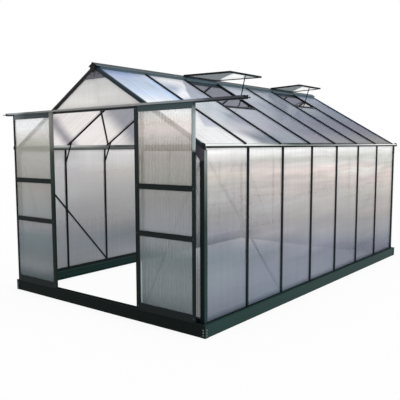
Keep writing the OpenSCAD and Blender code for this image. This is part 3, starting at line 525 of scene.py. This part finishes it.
def ribRow(corners, normal):  # the ribs of one pane, in a frame of its own: sideways, outwards, downwards
    if normal.z < -0.01 or (abs(normal.z) < 0.01 and normal.x + normal.y < 0):
        normal = -normal
    sideways = Vector((0, 0, 1)).cross(normal).normalized()
    downwards = sideways.cross(normal)
    spans = [[Vector(c).dot(axis) for c in corners] for axis in (sideways, normal, downwards)]
    low = [min(s) for s in spans]
    size = [max(s) - min(s) for s in spans]
    count = int(size[0] / flutes["pitch"])
    start = low[0] + (size[0] - (count - 1) * flutes["pitch"]) / 2
    bpy.ops.mesh.primitive_cube_add(size=1, location=(0, 0, 0))
    rib = bpy.context.object
    bpy.ops.object.mode_set(mode="EDIT")
    depth = size[1] - 2 * flutes["skin"]
    bpy.ops.transform.resize(value=(flutes["wall"], depth, size[2] + 2 * flutes["spare"]))
    bpy.ops.mesh.bisect(plane_co=(0, 0, 0), plane_no=(0, 1, 0))
    bpy.ops.mesh.select_all(action="DESELECT")
    shape = bmesh.from_edit_mesh(rib.data)
    for corner in shape.verts:
        corner.select = abs(corner.co.y) < 0.1 * mm
    shape.select_flush_mode()
    bmesh.update_edit_mesh(rib.data)
    bpy.ops.transform.resize(value=(flutes["waist"], 1, 1))
    bpy.ops.object.mode_set(mode="OBJECT")
    row = rib.modifiers.new("row", "ARRAY")
    row.use_relative_offset = False
    row.use_constant_offset = True
    row.constant_offset_displace = (flutes["pitch"], 0, 0)
    row.count = count
    bpy.ops.object.modifier_apply(modifier="row")
    turn = Matrix((sideways, normal, downwards)).transposed().to_4x4()
    centre = sideways * start + normal * (low[1] + size[1] / 2) + downwards * (low[2] + size[2] / 2)
    rib.data.transform(Matrix.Translation(centre) @ turn)
    rib.select_set(False)
    return rib


def mergedCopy(nodeName):  # a CAD node is loose triangles: its copy is closed before it cuts anything
    copy = bpy.data.objects.new("outline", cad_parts[nodeName].data.copy())
    bpy.context.scene.collection.objects.link(copy)
    bpy.ops.object.select_all(action="DESELECT")
    copy.select_set(True)
    bpy.context.view_layer.objects.active = copy
    bpy.ops.object.mode_set(mode="EDIT")
    bpy.ops.mesh.select_all(action="SELECT")
    bpy.ops.mesh.remove_doubles(threshold=weld)
    bpy.ops.object.mode_set(mode="OBJECT")
    copy.select_set(False)
    return copy


def addFlutes(nodeName):
    webbing = joined([ribRow(*solid) for solid in solidPoints(nodeName)], nodeName.replace("panes", "flutes"))
    outline = mergedCopy(nodeName)
    webbing.select_set(True)
    bpy.context.view_layer.objects.active = webbing
    cut = webbing.modifiers.new("cut", "BOOLEAN")
    cut.operation = "INTERSECT"
    cut.solver = "MANIFOLD"
    cut.object = outline
    bpy.ops.object.modifier_apply(modifier="cut")
    bpy.data.meshes.remove(outline.data)  # takes the outline's object with it
    webbing.select_set(False)
    setFinish(webbing, webs[sheetKind(nodeName)])
    passLight(webbing)
    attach(webbing, bodyOf(nodeName))
    print(webbing.name, len(webbing.data.polygons), "faces")


for nodeName in sorted(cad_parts):
    if "panes" in nodeName:
        addFlutes(nodeName)
print("flutes in the sheets")

# Bolts: a round washer and a hexagon head with its top edge taken off, 11 mm across its corners.
boltShape = {"washer": 6.5 * mm, "thick": 1.2 * mm, "head": 5.5 * mm, "height": 4 * mm, "chamfer": 0.8 * mm}
screwShape = {"head": 4 * mm, "height": 1.8 * mm, "chamfer": 0.9 * mm}
seatDepth = 0.2 * mm  # how far a bolt is let into its seat
endInset = 10 * mm  # from the end of a brace to its bolt
boltCoats = {"base": powderCoat("zinc-plated steel bolts", plainCoat("#687975", 0.35, 0.2)),
    "frame": powderCoat("weathered aluminium bolts", plainCoat("#2f3538", 0.45, 0.1)),
    "door": powderCoat("aluminium pan-head screws", plainCoat("#56605f", 0.4, 0.1))}


def disc(corners, radius, thick, chamfer):
    bpy.ops.mesh.primitive_circle_add(vertices=corners, radius=radius, fill_type="NGON", location=(0, 0, 0))
    piece = bpy.context.object
    bpy.ops.object.mode_set(mode="EDIT")
    bpy.ops.mesh.extrude_region_move(TRANSFORM_OT_translate={"value": (0, 0, thick - chamfer)})
    if chamfer:
        bpy.ops.mesh.extrude_region_move(TRANSFORM_OT_translate={"value": (0, 0, chamfer)})
        bpy.ops.transform.resize(value=(1 - chamfer / radius, 1 - chamfer / radius, 1))
    bpy.ops.mesh.select_all(action="SELECT")
    bpy.ops.mesh.normals_make_consistent(inside=False)
    bpy.ops.object.mode_set(mode="OBJECT")
    return piece


def seatsOn(nodeName, starts, facing):  # where bolts sit on a part, seen from its front; none past its edge
    facing = Vector(facing)
    seats = []
    for start in starts:
        found, point, normal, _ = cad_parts[nodeName].ray_cast(Vector(start), -facing)
        if found and normal.dot(facing) > 0.9:
            seats.append((point, facing))
    return seats


def endSeats(nodeName, inwards):  # one bolt near each end of every brace, on the side that faces inwards
    seats = []
    for corners, normal in solidPoints(nodeName):
        corners = [Vector(c) for c in corners]
        middle = sum(corners, Vector()) / len(corners)
        facing = normal if normal.dot(inwards(middle)) > 0 else -normal
        half = max((c - middle).dot(facing) for c in corners)
        first = max(corners, key=lambda c: (c - middle).length)
        last = max(corners, key=lambda c: (c - first).length)
        run = (last - first).normalized()
        for place in (first + run * endInset, last - run * endInset):
            seats.append((place + facing * (half - (place - middle).dot(facing)), facing))
    return seats


def addBolts(name, master, seats, body, finish):
    copies = []
    for point, facing in seats:
        copy = bpy.data.objects.new("bolt", master.data.copy())
        turn = facing.to_track_quat("Z", "Y").to_matrix().to_4x4()
        copy.data.transform(Matrix.Translation(point - facing * seatDepth) @ turn)
        bpy.context.scene.collection.objects.link(copy)
        copies.append(copy)
    bolts = joined(copies, name)
    setFinish(bolts, finish)
    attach(bolts, body)
    print(name, len(seats), "bolts")


# Where the bolts are, in metres: base brackets, gusset plates, wall bars and the ends of the doors' rails.
sides = (-1, 1)
lookFrom = {"side": 1.4, "end": 2.3, "room": 1.0}  # outside the walls and gables, or inside the room
bracketBolts = {"heights": (22 * mm, 44 * mm, 66 * mm), "side": 2.1535, "front": 1.232}
plateBolts = [(1.204, 1.405), (1.204, 1.44), (1.152, 1.495), (1.185, 1.495), (0.115, 2.122), (0.055, 2.15)]
plateTop = (0, 2.14)
barBolts = (0.118, 1.3, 1.485)
doorScrews = {"left_door": (-1.1855, -0.584), "right_door": (0.546, 1.1475),
    "heights": (0.142, 0.778, 1.174, 1.814)}


def bracketSeats():
    seats = []
    for side in sides:
        for height in bracketBolts["heights"]:
            places = [(side * lookFrom["side"], end * bracketBolts["side"], height) for end in sides]
            seats += seatsOn("corner_brackets", places, (side, 0, 0))
            place = (side * bracketBolts["front"], -lookFrom["end"], height)
            seats += seatsOn("corner_brackets", [place], (0, -1, 0))
    return seats


def frameSeats():
    seats = []
    for end in sides:
        places = [(side * across, height) for side in sides for across, height in plateBolts] + [plateTop]
        seats += seatsOn("gusset_plates", [(x, end * lookFrom["end"], z) for x, z in places], (0, end, 0))
    for side, bars in zip(sides, ("left_wall_bars", "right_wall_bars")):
        for corners, _ in solidPoints(bars):
            along = sum(c[1] for c in corners) / len(corners)
            places = [(side * lookFrom["room"], along, height) for height in barBolts]
            seats += seatsOn(bars, places, (-side, 0, 0))
    seats += endSeats("wall_braces", lambda place: Vector((-place.x, 0, 0)))
    seats += endSeats("gable_braces", lambda place: Vector((0, -place.y, 0)))
    seats += endSeats("roof_braces", lambda place: Vector((0, 0, -1)))
    seats += endSeats("knee_braces", lambda place: Vector((0, -1, 0)))
    return seats


bpy.context.view_layer.update()
bolt = joined([disc(12, boltShape["washer"], boltShape["thick"], 0),
    disc(6, boltShape["head"], boltShape["height"], boltShape["chamfer"])], "one bolt")
screw = disc(10, screwShape["head"], screwShape["height"], screwShape["chamfer"])
addBolts("base_bolts", bolt, bracketSeats(), "building", boltCoats["base"])
addBolts("frame_bolts", bolt, frameSeats(), "building", boltCoats["frame"])
for door in ("left_door", "right_door"):
    places = [(x, -lookFrom["end"], z) for x in doorScrews[door] for z in doorScrews["heights"]]
    seats = seatsOn(door + "_stiles", places, (0, -1, 0))
    addBolts(door + "_screws", screw, seats, door, boltCoats["door"])
for master in (bolt, screw):
    bpy.data.objects.remove(master)
print("bolts and screws set")

# Seals: extruded black rubber, which closes the sheets under the gutters and beside the corner posts.
sealShape = {"proud": 2 * mm, "drop": 12 * mm, "beside": 10 * mm, "edge": 0.6 * mm, "short": 8 * mm}
postInside = 1.18  # the corner posts' inner edge, in metres from the middle
besidePost = 1.15  # a gable sheet that reaches past this, and stays under the eaves, stands beside a post
eaves = 1.55
sealCoat = powderCoat("extruded rubber seal", plainCoat("#1b2121", 0.6, 0.05))


def strip(xs, ys, zs):
    spans = [sorted(span) for span in (xs, ys, zs)]
    bpy.ops.mesh.primitive_cube_add(size=1, location=(0, 0, 0))
    piece = bpy.context.object
    bpy.ops.object.mode_set(mode="EDIT")
    bpy.ops.transform.resize(value=[high - low for low, high in spans])
    bpy.ops.transform.translate(value=[(low + high) / 2 for low, high in spans])
    bpy.ops.mesh.bevel(offset=sealShape["edge"], segments=2)
    bpy.ops.object.mode_set(mode="OBJECT")
    return piece


def wallSeals():
    strips = []
    for side, panes in zip(sides, ("left_wall_panes", "right_wall_panes")):
        for corners, _ in solidPoints(panes):
            face = side * max(side * c[0] for c in corners)
            ys = [c[1] for c in corners]
            top = max(c[2] for c in corners)
            strips.append(strip((face, face + side * sealShape["proud"]),
                (min(ys) + sealShape["short"], max(ys) - sealShape["short"]),
                (top - sealShape["drop"], top)))
    return strips


def gableSeals():
    strips = []
    for corners, _ in solidPoints("front_gable_panes"):
        outer = max((c[0] for c in corners), key=abs)
        zs = [c[2] for c in corners]
        if abs(outer) > besidePost and max(zs) < eaves:
            face = min(c[1] for c in corners)
            side = math.copysign(1, outer)
            strips.append(strip((side * postInside, side * (postInside - sealShape["beside"])),
                (face - sealShape["proud"], face),
                (min(zs) + sealShape["short"], max(zs) - sealShape["short"])))
    return strips


strips = wallSeals() + gableSeals()
sealing = joined(strips, "sheet_seals")
setFinish(sealing, sealCoat)
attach(sealing, "building")
print("seals set,", len(strips), "strips")

studio = {"floor": 60, "paint": "#e6e6e6", "seenWhite": 0.9, "fill": 1.0, "key": 0.8, "soft": 25,
    "from": (0.8, 0.15, 0.6)}


def addFloor():  # nearly white to the eye and in mirrors, and a plain pale floor to the light
    bpy.ops.mesh.primitive_plane_add(size=studio["floor"], location=(0, 0, 0))
    floor = bpy.context.object
    floor.name = "floor"
    material, tree = newMaterial("studio floor, white paint")
    rays = addNode(tree, "ShaderNodeLightPath").outputs
    seen = addNode(tree, "ShaderNodeMath", {0: rays["Is Camera Ray"], 1: rays["Is Glossy Ray"]},
                   operation="MAXIMUM").outputs[0]
    seen = addNode(tree, "ShaderNodeMath", {0: seen, 1: rays["Is Transmission Ray"]},
                   operation="MAXIMUM").outputs[0]
    paint = addNode(tree, "ShaderNodeBsdfDiffuse", {"Color": linear(studio["paint"])}).outputs[0]
    white = addNode(tree, "ShaderNodeEmission", {"Color": linear("#ffffff"), "Strength": 1.0}).outputs[0]
    share = addNode(tree, "ShaderNodeMath", {0: seen, 1: studio["seenWhite"]},
                    operation="MULTIPLY").outputs[0]
    whole = addNode(tree, "ShaderNodeMixShader", {0: share, 1: paint, 2: white}).outputs[0]
    addNode(tree, "ShaderNodeOutputMaterial", {"Surface": whole})
    setFinish(floor, material)


def addLights():
    world = bpy.data.worlds.new("studio")
    bpy.context.scene.world = world
    world.use_nodes = True
    world.node_tree.nodes.clear()
    fill = addNode(world.node_tree, "ShaderNodeBackground", {"Color": linear("#ffffff"),
                   "Strength": studio["fill"]}).outputs[0]
    addNode(world.node_tree, "ShaderNodeOutputWorld", {"Surface": fill})
    sun = bpy.data.objects.new("key", bpy.data.lights.new("key", "SUN"))
    sun.data.energy = studio["key"]
    sun.data.angle = math.radians(studio["soft"])
    sun.rotation_euler = (-Vector(studio["from"])).to_track_quat("-Z", "Y").to_euler()
    bpy.context.scene.collection.objects.link(sun)


addFloor()
addLights()
bpy.context.scene.view_settings.view_transform = "Standard"
print("floor and lights set")
